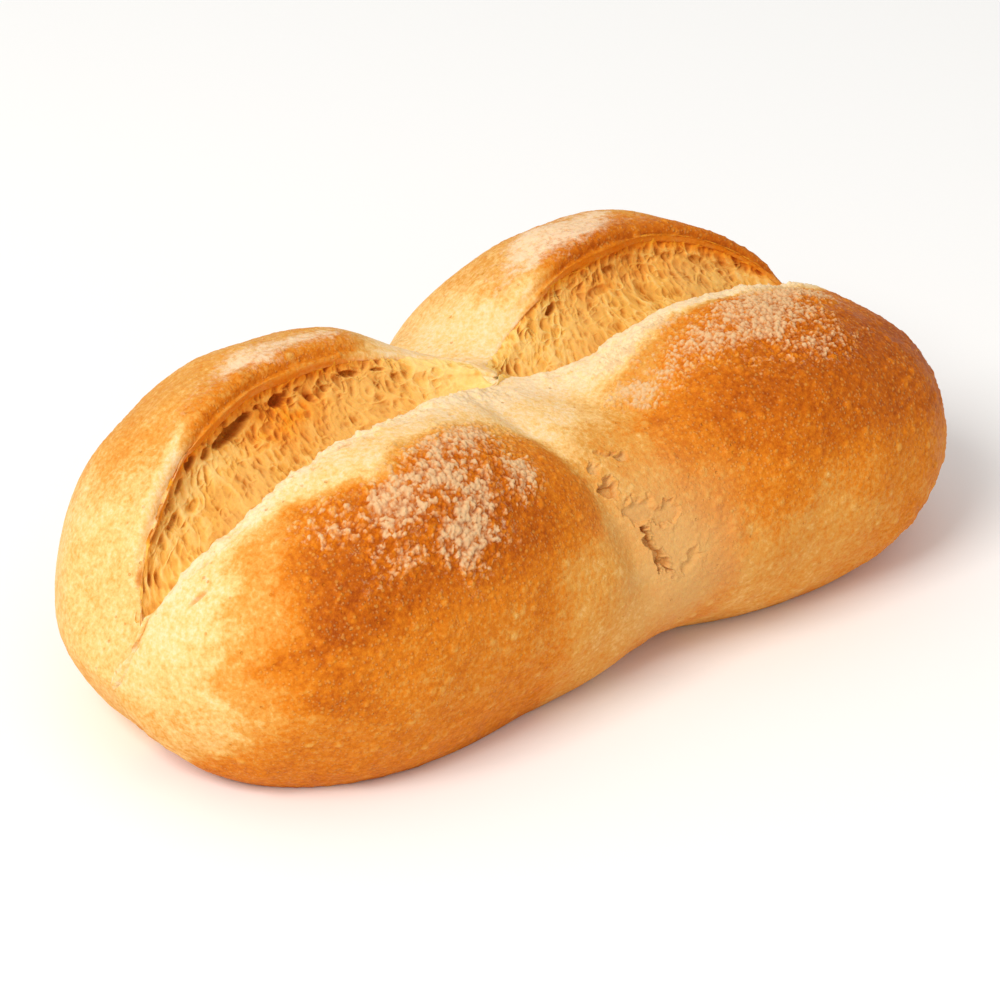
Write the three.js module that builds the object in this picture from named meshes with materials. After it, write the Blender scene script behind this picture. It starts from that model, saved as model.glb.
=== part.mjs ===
// Crusty bread roll: two oval rounds of dough baked together end to end, with one long cut
// along the top that tore open in the oven and shows the crumb. It stands on a flat sole.
// Millimetres, +Z up. +X runs along the roll and +Y across it, so the front is on the -Y side.
//
// The whole roll is one skin. A closed outline of 22 control points is worked out for any place
// along the roll, a smooth curve is drawn through it, and the rings of that curve are joined.
// Places on the outline are counted in control points: 0 is the middle of the sole, 4 the belly
// of the front, 8 the torn lip, 10 the floor of the tear, 14 the ear and 19 the belly of the back.

import * as THREE from 'three';

// ---------------------------------------------------------------- driving dimensions, mm

const LENGTH = 172;
const HALF_LENGTH = LENGTH / 2;
const FULL_HEIGHT = 55;            // the height that the outline's shares were set out for
const POLE_HEIGHT = 18.3;          // height at which both ends round off
const SEAM_WIDTH = 0.9;            // width of the cut where it has closed up again

// One entry for each round: where its crest is, how far it reaches towards the other round, and
// its half widths and heights on the two sides of the tear.
const LEFT = {
  crest: -36.4, reachIn: 48, riseIn: 60.7,
  front: 45, back: 40.8, frontHeight: 54.6, backHeight: 54.8,
  tearMiddle: -37.7, tearWidth: 22,
};
const RIGHT = {
  crest: 40.8, reachIn: 69, riseIn: 46.8,
  front: 48.8, back: 43.5, frontHeight: 50.2, backHeight: 53.4,
  tearMiddle: 43.3, tearWidth: 19.8,
};
const TEAR_REACH_IN = 40.7;        // from the middle of a tear to where it closes at the waist
const TEAR_END_GAP = 4.7;          // from a tear's outer end to the end of the roll
const TEAR_LINE = -0.9;            // where the cut runs across the roll at its middle
const TEAR_SLANT = 3.8;            // how far it lies further back at the right end
const BEND = -5.4;                 // how far the ends swing forward of the middle
const SKEW = -8.3;                 // how far each end lies forward or back of the middle

// The waist, the lip, the ear and the crumb.
const FRONT_VALLEY = -10;          // where the valley between the rounds starts at the top in front
const VALLEY_SLANT = 1.5;          // how far it swings right for each outline place on its way down
const BACK_VALLEY = 1;
const VALLEY_DEPTH = 3.2;
const CREASE_DEPTH = 1.3;
const LIP_RAGGED = 0.8;
const EAR_GROOVE = 0.9;            // groove under the curled edge of the crust
const CELL_SIZE = 6;               // large cells of the torn crumb
const CELL_DEPTH = 2.2;

// The superellipses' exponents: how flat a curve is at its crest and how round at its end.
const PLAN_OUT = { flat: 2.4, round: 2.2 };        // seen from above, towards the ends
const PLAN_IN = { flat: 2.85, round: 2.55 };       // seen from above, towards the waist
const RISE_FRONT = { flat: 1.75, round: 2.0 };     // seen from the side, in front of the tear
const RISE_BACK = { flat: 2.3, round: 1.35 };      // seen from the side, behind the tear
const TEAR_CURVE = { flat: 2, round: 1.5 };        // the tear seen from above

// ---------------------------------------------------------------- small helpers

const clamp = (value, low, high) => Math.min(high, Math.max(low, value));
const ramp = (value, low, high) => clamp((value - low) / (high - low), 0, 1);
const smoothRamp = (value, low, high) => ramp(value, low, high) ** 2 * (3 - 2 * ramp(value, low, high));
const hump = (distance) => Math.exp(-distance * distance);

// A soft maximum: follows the larger of two sizes and rounds the corner between them.
const softMax = (a, b, sharpness) => (a ** sharpness + b ** sharpness) ** (1 / sharpness);

// A repeatable draw between 0 and 1 for the grid square (a, b).
function draw(a, b, seed) {
  let h = Math.imul(a, 374761393) + Math.imul(b, 668265263) + Math.imul(seed, 974634777);
  h = Math.imul(h ^ (h >>> 13), 1274126177);
  return ((h ^ (h >>> 16)) >>> 0) / 4294967296;
}

// A superellipse's half height at x, with its own reach and exponents on each side of its middle.
function oval(x, middle, reachLeft, reachRight, curveLeft, curveRight = curveLeft) {
  const left = x < middle;
  const { flat, round } = left ? curveLeft : curveRight;
  const share = Math.abs((x - middle) / (left ? reachLeft : reachRight)) ** flat;
  return clamp(1 - share, 0, 1) ** (1 / round);
}

// ---------------------------------------------------------------- the outline across the roll

// The two rounds' sizes at x, joined with a soft maximum, so that they meet in a waist.
function sizesAt(x) {
  const outLeft = HALF_LENGTH + LEFT.crest;
  const outRight = HALF_LENGTH - RIGHT.crest;
  const wideLeft = oval(x, LEFT.crest, outLeft, LEFT.reachIn, PLAN_OUT, PLAN_IN);
  const wideRight = oval(x, RIGHT.crest, RIGHT.reachIn, outRight, PLAN_IN, PLAN_OUT);
  const high = (curve) => [
    oval(x, LEFT.crest, outLeft, LEFT.riseIn, curve),
    oval(x, RIGHT.crest, RIGHT.riseIn, outRight, curve),
  ];
  const [frontLeft, frontRight] = high(RISE_FRONT);
  const [backLeft, backRight] = high(RISE_BACK);
  const tearLeft = oval(x, LEFT.tearMiddle, HALF_LENGTH + LEFT.tearMiddle - TEAR_END_GAP,
    TEAR_REACH_IN, TEAR_CURVE);
  const tearRight = oval(x, RIGHT.tearMiddle, TEAR_REACH_IN,
    HALF_LENGTH - RIGHT.tearMiddle - TEAR_END_GAP, TEAR_CURVE);
  return {
    front: softMax(wideLeft * LEFT.front, wideRight * RIGHT.front, 5),
    back: softMax(wideLeft * LEFT.back, wideRight * RIGHT.back, 5),
    frontHigh: softMax(frontLeft * LEFT.frontHeight, frontRight * RIGHT.frontHeight, 6),
    backHigh: softMax(backLeft * LEFT.backHeight, backRight * RIGHT.backHeight, 6),
    tear: softMax(tearLeft * LEFT.tearWidth, tearRight * RIGHT.tearWidth, 4) + SEAM_WIDTH,
  };
}

// How much the far side of the tear stands up as an ear: 1 along both windows, 0 at the waist and
// at the ends, where it is rounded.
function earShare(x) {
  return smoothRamp(x, -80, -70) * (1 - smoothRamp(x, -26, -8))
    + smoothRamp(x, 12, 28) * (1 - smoothRamp(x, 72, 80));
}

// The 22 control points [y, z] of the outline at x.
function outlineAt(x) {
  const { front, back, frontHigh, backHigh, tear } = sizesAt(x);
  const along = x / HALF_LENGTH;
  const poleShare = POLE_HEIGHT / FULL_HEIGHT;
  const frontZ = (share) => POLE_HEIGHT + (share - poleShare) * frontHigh;
  const backZ = (share) => POLE_HEIGHT + (share - poleShare) * backHigh;
  const lip = TEAR_LINE + TEAR_SLANT * along - 0.36 * tear;
  const ear = lip + tear;
  const depth = (1.2 + 0.62 * tear) * Math.min(1, frontHigh / 25);
  const eared = earShare(x);
  const rounded = 1 - eared;
  const points = [
    [0, (frontZ(-0.22) + backZ(-0.22)) / 2],
    [-0.50 * front, frontZ(-0.20)],
    [-0.84 * front, frontZ(0.02)],
    [-front, frontZ(0.34)],
    [-0.96 * front, frontZ(0.64)],
    [-0.80 * front, frontZ(0.87)],
    [-0.55 * front + 0.15 * lip, frontZ(0.985)],
    [-0.26 * front + 0.45 * lip, frontZ(1)],
    [lip, frontZ(0.965) - 0.02 * tear],
    [lip + 0.10 * tear, frontZ(0.97) - 0.45 * depth],
    [lip + 0.30 * tear, frontZ(0.97) - depth],
    [lip + 0.62 * tear, backZ(0.97) - 0.86 * depth],
    [lip + (0.88 + 0.03 * eared) * tear, backZ(0.97) - 0.50 * depth],
    [lip + (1.00 + 0.02 * eared) * tear, backZ(0.98) - (0.30 - 0.08 * eared) * depth],
    [ear + 0.09 * rounded * (back - ear), backZ(0.98) - (0.14 - 0.12 * eared) * depth],
    [ear + (0.16 + 0.08 * rounded) * (back - ear), backZ(1 - 0.01 * rounded) - 0.03 * rounded * depth],
    [ear + 0.42 * (back - ear), backZ(0.985)],
    [0.80 * back, backZ(0.87)],
    [0.96 * back, backZ(0.62)],
    [back, backZ(0.34)],
    [0.84 * back, backZ(0.02)],
    [0.50 * back, backZ(-0.20)],
  ];
  const gather = Math.min(1, Math.min(front, back) / 14);   // near the ends the tear draws together
  const shift = BEND * (along * along - 0.33) + SKEW * along;
  return points.map(([y, z], i) => [(i >= 6 && i <= 16 ? y * gather : y) + shift, z]);
}

// The point and the outward direction, both [y, z], at place v on a closed smooth outline.
function onOutline(points, v) {
  const n = points.length;
  const k = Math.floor(v);
  const f = v - k;
  const [a, b, c, d] = [k - 1, k, k + 1, k + 2].map((i) => points[(i + n) % n]);
  const value = (i) => 0.5 * (2 * b[i] + (c[i] - a[i]) * f
    + (2 * a[i] - 5 * b[i] + 4 * c[i] - d[i]) * f * f
    + (3 * b[i] - a[i] - 3 * c[i] + d[i]) * f ** 3);
  const slope = (i) => 0.5 * ((c[i] - a[i]) + 2 * (2 * a[i] - 5 * b[i] + 4 * c[i] - d[i]) * f
    + 3 * (3 * b[i] - a[i] - 3 * c[i] + d[i]) * f * f);
  const length = Math.hypot(slope(0), slope(1)) || 1;
  return { y: value(0), z: value(1), outY: -slope(1) / length, outZ: slope(0) / length };
}

// ---------------------------------------------------------------- relief of crust and crumb

// The uneven swell of hand-shaped dough.
function lumps(x, y, z) {
  return 0.45 * Math.sin(x / 6.1 + y / 9.3 + 1.1) * Math.sin(y / 7.7 - z / 8.9)
    + 0.30 * Math.sin(x / 3.7 - z / 5.3 + 0.4) * Math.sin(y / 4.9 + x / 11 + 2);
}

// Torn crumb: one hollow cell to each square of a grid, with raised walls between the cells.
function crumbCells(x, across, size, seed) {
  const u = x / size;
  const w = across / size;
  let nearest = Infinity;
  let second = Infinity;
  for (let a = Math.floor(u) - 1; a <= Math.floor(u) + 1; a += 1) {
    for (let b = Math.floor(w) - 1; b <= Math.floor(w) + 1; b += 1) {
      const distance = Math.hypot(a + draw(a, b, seed) - u, b + draw(a, b, seed + 1) - w);
      second = Math.min(second, Math.max(distance, nearest));
      nearest = Math.min(nearest, distance);
    }
  }
  return ramp(second - nearest, 0, 0.5);
}

// The valley where the two rounds meet: broad, with a narrow crease along its bottom. In front it
// slants down the side; behind it runs straight.
function waistValley(x, v) {
  const inFront = v < 11;
  const up = inFront ? v : 22 - v;
  const away = x - (inFront ? FRONT_VALLEY - VALLEY_SLANT * (up - 7) : BACK_VALLEY);
  const share = ramp(up, 1.8, 4) * (1 - ramp(up, 6.4, 8));
  return share * (VALLEY_DEPTH * hump(away / 12) + CREASE_DEPTH * hump(away / 3.5));
}

// Bubbles that burst or opened: place x along the roll, place v on the outline, half length along
// the roll, half width in outline places, depth.
const OPENINGS = [
  { x: -45, v: 12.5, long: 6, wide: 0.36, deep: 3.2 },     // long hollow under the left ear
  { x: -36.5, v: 12.6, long: 2.6, wide: 0.3, deep: 2 },
  { x: -20.5, v: 12.6, long: 2.6, wide: 0.25, deep: 1.6 },
  { x: -61, v: 13, long: 3.2, wide: 0.4, deep: 1.8 },
  { x: -73, v: 12.7, long: 4, wide: 0.6, deep: 1.2 },
  { x: 25, v: 12.3, long: 3, wide: 0.4, deep: 2.6 },       // pit at the inner end of the right tear
  { x: 37, v: 11.9, long: 3.6, wide: 0.4, deep: 1.6 },
  { x: 47, v: 11.5, long: 4, wide: 0.5, deep: 1.6 },
  { x: 67, v: 12.2, long: 3.4, wide: 0.5, deep: 1.4 },
  { x: -1.2, v: 4.4, long: 4.4, wide: 0.34, deep: 1.3 },   // round torn hollow at the front of the waist
  { x: -4, v: 4.9, long: 2.2, wide: 0.22, deep: 1.4 },
  { x: -0.7, v: 3.8, long: 1.8, wide: 0.42, deep: 1.8 },   // slit below it
  { x: 1.2, v: 3.5, long: 2.2, wide: 0.22, deep: 0.9 },
];

function openings(x, v) {
  return OPENINGS.reduce((deepest, o) => {
    const reach = Math.hypot((x - o.x) / o.long, (v - o.v) / o.wide);
    return Math.max(deepest, o.deep * (1 - ramp(reach, 0.45, 1.1)));
  }, 0);
}

// How far the skin moves outwards at place v on the outline at x.
function relief(x, v, point, tear) {
  const open = ramp(tear, 2, 10);                              // 0 where the cut is closed
  const inTear = open * ramp(v, 9, 10) * (1 - ramp(v, 12.6, 13.2));
  const onLip = open * hump((v - 8) / 0.8);
  const underEar = open * hump((v - 13.3) / 0.3);
  const atSole = ramp(point.z, 0.5, 6);
  const nearEnd = ramp(HALF_LENGTH - Math.abs(x), 0, 8);
  const dough = lumps(x, point.y, point.z) * (1 - inTear) * nearEnd;
  const cells = crumbCells(x, point.y + 1.3 * point.z, CELL_SIZE, 5) - 0.5;
  const ragged = 0.5 * Math.sin(1.05 * x + 0.4) + 0.4 * Math.sin(0.61 * x + 2);
  return atSole * (dough - waistValley(x, v)) - CELL_DEPTH * cells * inTear
    + LIP_RAGGED * ragged * onLip - EAR_GROOVE * underEar
    - openings(x, v) * (v > 9 ? Math.max(open, 0.3) : 1);
}

// ---------------------------------------------------------------- rings, skin and mesh

const CAP_LENGTH = 18;             // an end's stretch, with rings that draw closer to the end
const CAP_RINGS = 14;
const MIDDLE_RINGS = 58;

function ringPlaces() {
  const places = [];
  for (let i = 1; i <= CAP_RINGS; i += 1) {
    places.push(-HALF_LENGTH + CAP_LENGTH * (i / CAP_RINGS) ** 2.2);
  }
  const step = (LENGTH - 2 * CAP_LENGTH) / MIDDLE_RINGS;
  for (let i = 1; i < MIDDLE_RINGS; i += 1) {
    places.push(-HALF_LENGTH + CAP_LENGTH + i * step);
  }
  for (let i = CAP_RINGS; i >= 1; i -= 1) {
    places.push(HALF_LENGTH - CAP_LENGTH * (i / CAP_RINGS) ** 2.2);
  }
  return places;
}

// How many steps the outline takes from each control point to the next: few under the sole,
// most in the tear.
const STEPS = [1, 2, 3, 3, 3, 2, 2, 3, 3, 3, 4, 4, 3, 3, 3, 2, 3, 3, 3, 3, 2, 1];
const OUTLINE_PLACES = STEPS.flatMap((steps, k) => Array.from({ length: steps }, (_, i) => k + i / steps));

function ringAt(x) {
  const outline = outlineAt(x);
  const { tear } = sizesAt(x);
  return OUTLINE_PLACES.map((v) => {
    const point = onOutline(outline, v);
    const move = relief(x, v, point, tear);
    return [x, point.y + move * point.outY, Math.max(0, point.z + move * point.outZ)];
  });
}

function poleAt(side) {
  return [side * HALF_LENGTH, BEND * 0.67 + SKEW * side, POLE_HEIGHT];
}

// Joins each ring to the next one and closes the ends with a fan.
function skin(rings, leftPole, rightPole) {
  const size = rings[0].length;
  const positions = [leftPole, ...rings.flat(), rightPole].flat();
  const last = rings.length * size + 1;
  const index = [];
  for (let j = 0; j < size; j += 1) {
    const next = (j + 1) % size;
    index.push(0, 1 + j, 1 + next);
    for (let i = 0; i + 1 < rings.length; i += 1) {
      const here = 1 + i * size;
      const there = here + size;
      index.push(here + j, there + j, there + next);
      index.push(here + j, there + next, here + next);
    }
    const edge = last - size;
    index.push(edge + j, last, edge + next);
  }
  const geometry = new THREE.BufferGeometry();
  geometry.setAttribute('position', new THREE.Float32BufferAttribute(positions, 3));
  geometry.setIndex(index);
  geometry.computeBoundingBox();
  return geometry;
}

const geometry = skin(ringPlaces().map(ringAt), poleAt(-1), poleAt(1));
const middle = geometry.boundingBox.getCenter(new THREE.Vector3());
geometry.translate(-middle.x, -middle.y, 0);                   // the box stands centred on the origin
geometry.computeVertexNormals();

const crust = new THREE.MeshStandardMaterial({ color: 0xdd9a48, roughness: 0.62, metalness: 0 });
const breadRoll = new THREE.Mesh(geometry, crust);
breadRoll.name = 'bread_roll';

const roll = new THREE.Group();
roll.add(breadRoll);

export default roll;
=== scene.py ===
"""Crusty bread roll: two rounds of dough baked together, torn open along the top.

The roll is one skin around a closed outline whose 22 control points are worked out for any place
x along the roll. A place v on the outline is counted in control points: 0 is the middle of the
sole, 4 the belly of the front, 8 the torn lip, 10 the floor of the tear, 14 the ear and 19 the
belly of the back. Shapes are worked out in millimetres and put into the meshes in metres.
"""
import math

import bpy
import numpy as np
from mathutils import Color, Matrix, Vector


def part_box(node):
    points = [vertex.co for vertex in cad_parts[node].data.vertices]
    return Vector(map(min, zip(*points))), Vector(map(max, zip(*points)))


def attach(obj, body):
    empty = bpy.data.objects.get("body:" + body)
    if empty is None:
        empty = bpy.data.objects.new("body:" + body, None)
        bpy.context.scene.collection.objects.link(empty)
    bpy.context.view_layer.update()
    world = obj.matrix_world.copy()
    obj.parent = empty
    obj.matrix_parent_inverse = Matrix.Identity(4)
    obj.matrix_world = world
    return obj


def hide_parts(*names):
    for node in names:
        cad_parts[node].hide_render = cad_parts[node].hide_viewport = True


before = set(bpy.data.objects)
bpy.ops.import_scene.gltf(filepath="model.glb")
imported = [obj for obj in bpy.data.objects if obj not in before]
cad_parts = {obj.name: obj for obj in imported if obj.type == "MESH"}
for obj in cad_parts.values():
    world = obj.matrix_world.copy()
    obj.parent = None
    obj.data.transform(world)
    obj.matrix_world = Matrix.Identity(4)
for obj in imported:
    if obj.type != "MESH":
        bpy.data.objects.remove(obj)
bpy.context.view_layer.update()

bl_info = {
    "name": "Crusty Bread Roll",
    "version": (1, 0, 0),
    "blender": (4, 5, 0),
    "location": "View3D > Sidebar > Bread",
    "description": "Builds a torn double bread roll with crust, crumb and flour",
    "category": "Add Mesh",
}

NODE = "bread_roll"
LOW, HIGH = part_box(NODE)
MM = 0.001

# ------------------------------------------------------------------ sizes of the roll, mm

LENGTH = (HIGH[0] - LOW[0]) / MM
HALF = LENGTH / 2
FULL_HEIGHT = 55.0
POLE_HEIGHT = 18.3
SEAM_WIDTH = 0.9
LEFT = dict(crest=-36.4, reach_in=48.0, rise_in=60.7, front=45.0, back=40.8,
            front_height=54.6, back_height=54.8, tear_middle=-37.7, tear_width=22.0)
RIGHT = dict(crest=40.8, reach_in=69.0, rise_in=46.8, front=48.8, back=43.5,
             front_height=50.2, back_height=53.4, tear_middle=43.3, tear_width=19.8)
TEAR_REACH_IN = 40.7
TEAR_END_GAP = 4.7
TEAR_LINE = -0.9
TEAR_SLANT = 3.8
BEND = -5.4
SKEW = -8.3
FRONT_VALLEY = -10.0
VALLEY_SLANT = 1.5
BACK_VALLEY = 1.0
PLAN_OUT = (2.4, 2.2)
PLAN_IN = (2.85, 2.55)
RISE_FRONT = (1.75, 2.0)
RISE_BACK = (2.3, 1.35)
TEAR_CURVE = (2.0, 1.5)
OUTLINE_POINTS = 22
CAP = 18.0
SHELL_SINK = 6.0          # how far the crust lies under the crumb in the windows
SEAM_X = -3.0             # where the two halves of the crust meet
FRONT_SPAN = (0.0, 11.2, 1.2, 9.6)      # first and last v of the crust in front, then of its dense part
BACK_SPAN = (10.8, 22.0, 12.2, 20.8)
SHELL_ROWS = 330
CRUMB_SPAN = (8.55, 14.75, 10.7, 14.7)
CRUMB_ROWS = 220
CRUMBS = (("crumb_left", -80.2, 2.3, 425, 400),     # name, first and last x, rings, seed
          ("crumb_right", 3.0, 80.2, 420, 700))
# name, first and last x, first and last v, rings, rows, size of a clump in mm, seed
FLOURS = (("flour_front_left", (-68, -10), (3.9, 7.0), 350, 260, 1.0, 810),
          ("flour_front_right", (4, 68), (5.0, 7.9), 350, 220, 0.75, 850))

# Openings in the crumb, in the ear's edge and at the waist: x, v, half length, half width in
# places, depth.
CRUMB_OPENINGS = [
    (-48.3, 12.52, 4.8, 0.24, 2.8), (-44.6, 12.62, 2.6, 0.16, 2.4), (-36.2, 12.62, 2.3, 0.23, 2.3),
    (-54.6, 12.55, 1.4, 0.20, 1.6), (-58.4, 12.80, 1.6, 0.20, 1.8), (-62.4, 12.66, 1.6, 0.20, 1.5),
    (-66.4, 12.75, 1.5, 0.18, 1.2), (-41.0, 12.72, 0.8, 0.10, 0.9), (-31.5, 12.7, 0.9, 0.10, 0.9),
    (-20.6, 12.75, 2.0, 0.17, 1.5), (-15.5, 12.9, 1.4, 0.12, 1.0), (-29.4, 12.3, 0.8, 0.10, 0.7),
    (-61.1, 11.8, 1.4, 0.12, 0.7), (-26.0, 12.4, 1.2, 0.12, 0.7), (-66.0, 12.1, 2.4, 0.16, 0.7),
    (-76.6, 12.6, 0.7, 0.5, 1.0), (-75.2, 12.1, 0.7, 0.4, 1.0), (-73.8, 11.6, 0.7, 0.35, 0.8),
    (9.6, 12.6, 0.8, 0.35, 0.9), (11.2, 12.1, 0.8, 0.35, 0.9), (13.0, 11.8, 0.8, 0.25, 0.7),
    (25.0, 12.35, 1.7, 0.2, 2.0), (28.3, 12.68, 0.7, 0.1, 0.8), (31.5, 12.6, 1.2, 0.14, 0.5),
    (36.8, 12.0, 3.4, 0.16, 0.7), (41.0, 12.5, 1.6, 0.14, 0.6), (46.0, 12.7, 1.3, 0.14, 0.5),
    (46.8, 11.5, 2.6, 0.3, 0.6), (54.5, 12.5, 1.6, 0.2, 0.6), (60.5, 12.4, 1.8, 0.25, 0.7),
    (66.0, 12.4, 1.8, 0.26, 0.6),
]
EDGE_OPENINGS = [
    (-73.2, 13.80, 2.1, 0.26, 1.2), (-76.9, 13.85, 1.2, 0.30, 1.0), (-60.7, 13.95, 1.6, 0.26, 1.5),
    (-64.8, 13.92, 1.1, 0.28, 1.5), (-69.0, 13.88, 1.1, 0.3, 1.4), (-77.3, 6.47, 1.4, 0.09, 0.7),
    (-44.0, 7.30, 2.4, 0.10, 0.7), (-51.4, 7.18, 0.9, 0.07, 0.5), (-69.2, 7.2, 2.2, 0.03, 0.4),
    (-40.0, 7.22, 0.9, 0.06, 0.4), (-22.2, 6.95, 0.9, 0.04, 0.4), (-73.4, 7.2, 0.5, 0.06, 0.4),
]
WAIST_OPENINGS = [
    (-0.9, 4.44, 3.0, 0.26, 0.9), (1.9, 4.30, 2.2, 0.18, 0.7), (-4.1, 4.86, 1.7, 0.17, 1.9),
    (-3.9, 5.06, 1.0, 0.12, 1.2), (-4.4, 5.35, 1.3, 0.1, 0.8), (1.6, 5.44, 1.5, 0.07, 0.8),
    (-0.5, 5.58, 2.2, 0.06, 0.6), (-1.0, 3.86, 0.9, 0.30, 2.8), (0.0, 3.62, 1.5, 0.1, 1.8),
    (1.6, 3.50, 0.7, 0.16, 1.3), (-0.6, 3.48, 0.7, 0.16, 1.1), (4.6, 4.32, 2.0, 0.12, 0.7),
    (6.0, 3.36, 2.4, 0.3, 0.6),
]
WAIST_PATCH = (0.5, 4.45, 11.5, 1.35)
# Floured patches: middle x and v, half length, half width in places, strength.
FLOUR_AREAS = [
    (-47, 5.45, 9, 0.85, 0.95), (-30, 6.15, 14, 0.5, 1.05), (-39, 4.8, 8, 0.45, 1.15),
    (-36, 5.6, 13, 0.75, 0.82), (-24, 5.3, 7, 0.45, 0.7), (-57, 5.9, 7, 0.75, 0.6),
    (43, 6.5, 12, 0.55, 1.3), (54, 7.0, 12, 0.55, 1.5), (29, 7.2, 7, 0.3, 1.15),
    (19, 7.15, 6, 0.3, 1.0), (14, 6.45, 6, 0.35, 1.0), (28, 6.4, 14, 0.5, 0.75),
    (46, 5.6, 18, 0.5, 0.5), (6, 6.9, 5, 0.5, 0.4), (36, 15.45, 13, 0.75, 1.8),
    (22, 15.1, 7, 0.5, 0.6), (-34, 15.15, 24, 0.6, 0.8),
]

# ------------------------------------------------------------------ small helpers


def ramp(value, low, high):
    """0 below low, 1 above high and straight between them."""
    return np.clip((value - low) / (high - low), 0.0, 1.0)


def smooth(value, low, high):
    """0 below low, 1 above high with an S-shaped rise between them."""
    share = ramp(value, low, high)
    return share * share * (3.0 - 2.0 * share)


def hump(distance):
    """A bell: 1 at distance 0 that falls off as exp(-distance squared)."""
    return np.exp(-distance * distance)


def patch(x, v, middle_x, middle_v, half_x, half_v, edge=3.0):
    """A flat-topped bell on the skin: exp(-r to the power edge), r being the elliptic distance."""
    r = np.hypot((x - middle_x) / half_x, (v - middle_v) / half_v)
    return np.exp(-r ** edge)


def draw(a, b, c, seed):
    """A repeatable draw between 0 and 1 for the whole numbers a, b and c, by mixing their bits."""
    mask = 0xFFFFFFFF
    h = (a * 374761393 + b * 668265263 + c * 2246822519 + seed * 974634777) & mask
    h = ((h ^ (h >> 13)) * 1274126177) & mask
    return ((h ^ (h >> 16)) & mask) / 4294967296.0


def noise(points, size, seed):
    """Value noise from -1 to 1: draws at the corners of cubes of that size, blended smoothly."""
    q = points / size
    corner = np.floor(q).astype(np.int64)
    f = q - corner
    f = f * f * (3.0 - 2.0 * f)
    total = 0.0
    for i in (0, 1):
        for j in (0, 1):
            for k in (0, 1):
                weight = ((f[..., 0] if i else 1 - f[..., 0]) * (f[..., 1] if j else 1 - f[..., 1])
                          * (f[..., 2] if k else 1 - f[..., 2]))
                total = total + weight * draw(corner[..., 0] + i, corner[..., 1] + j,
                                              corner[..., 2] + k, seed)
    return 2.0 * total - 1.0


def layers(points, size, seed, count=4, gain=0.5):
    """Noise in layers: each layer has half the size and gain times the strength of the last."""
    total, strength, whole = 0.0, 1.0, 0.0
    for i in range(count):
        total = total + strength * noise(points, size / 2 ** i, seed + 17 * i)
        whole += strength
        strength *= gain
    return total / whole


def cells(points, size, seed):
    """Scattered cells, one to each cube of that size: the distances to the nearest and the second
    nearest cell middle in cube sizes, and a draw that belongs to the nearest cell."""
    q = points / size
    dims = q.shape[-1]
    corner = np.floor(q).astype(np.int64)
    nearest = np.full(q.shape[:-1], 9.0)
    second = np.full(q.shape[:-1], 9.0)
    own = np.zeros(q.shape[:-1])
    steps = (-1, 0, 1)
    for i in steps:
        for j in steps:
            for k in (steps if dims == 3 else (0,)):
                a, b = corner[..., 0] + i, corner[..., 1] + j
                c = corner[..., 2] + k if dims == 3 else np.zeros_like(a)
                square = ((a + draw(a, b, c, seed) - q[..., 0]) ** 2
                          + (b + draw(a, b, c, seed + 1) - q[..., 1]) ** 2)
                if dims == 3:
                    square = square + (c + draw(a, b, c, seed + 2) - q[..., 2]) ** 2
                distance = np.sqrt(square)
                closer = distance < nearest
                second = np.where(closer, nearest, np.minimum(second, distance))
                own = np.where(closer, draw(a, b, c, seed + 3), own)
                nearest = np.where(closer, distance, nearest)
    return nearest, second, own


# ------------------------------------------------------------------ the skin of the roll


def soft_max(a, b, sharpness):
    """The larger of two sizes, with the corner between them rounded: a power mean."""
    return (a ** sharpness + b ** sharpness) ** (1.0 / sharpness)


def oval(x, middle, reach_left, reach_right, curve_left, curve_right):
    """A superellipse's half height at x, with its own reach and exponents on each side."""
    left = x < middle
    flat = np.where(left, curve_left[0], curve_right[0])
    bend = np.where(left, curve_left[1], curve_right[1])
    share = np.abs((x - middle) / np.where(left, reach_left, reach_right)) ** flat
    return np.clip(1.0 - share, 0.0, 1.0) ** (1.0 / bend)


def tear_width(x):
    """Width of the tear at x: two ovals joined with a soft maximum, plus the closed seam."""
    left = oval(x, LEFT["tear_middle"], HALF + LEFT["tear_middle"] - TEAR_END_GAP,
                TEAR_REACH_IN, TEAR_CURVE, TEAR_CURVE)
    right = oval(x, RIGHT["tear_middle"], TEAR_REACH_IN,
                 HALF - RIGHT["tear_middle"] - TEAR_END_GAP, TEAR_CURVE, TEAR_CURVE)
    return soft_max(left * LEFT["tear_width"], right * RIGHT["tear_width"], 4) + SEAM_WIDTH


def open_at(x):
    """1 where the tear shows its crumb, 0 where it has closed up again at its ends."""
    return ramp(tear_width(x), 5, 9) * smooth(HALF - np.abs(x), 6.5, 8)


def ear_share(x):
    """How much the far side of the tear stands up as an ear: 1 along both windows, 0 at the waist
    and at the ends."""
    left = smooth(x, -80, -70) * (1 - smooth(x, -26, -8))
    right = smooth(x, 12, 28) * (1 - smooth(x, 72, 80))
    return left + right


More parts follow.
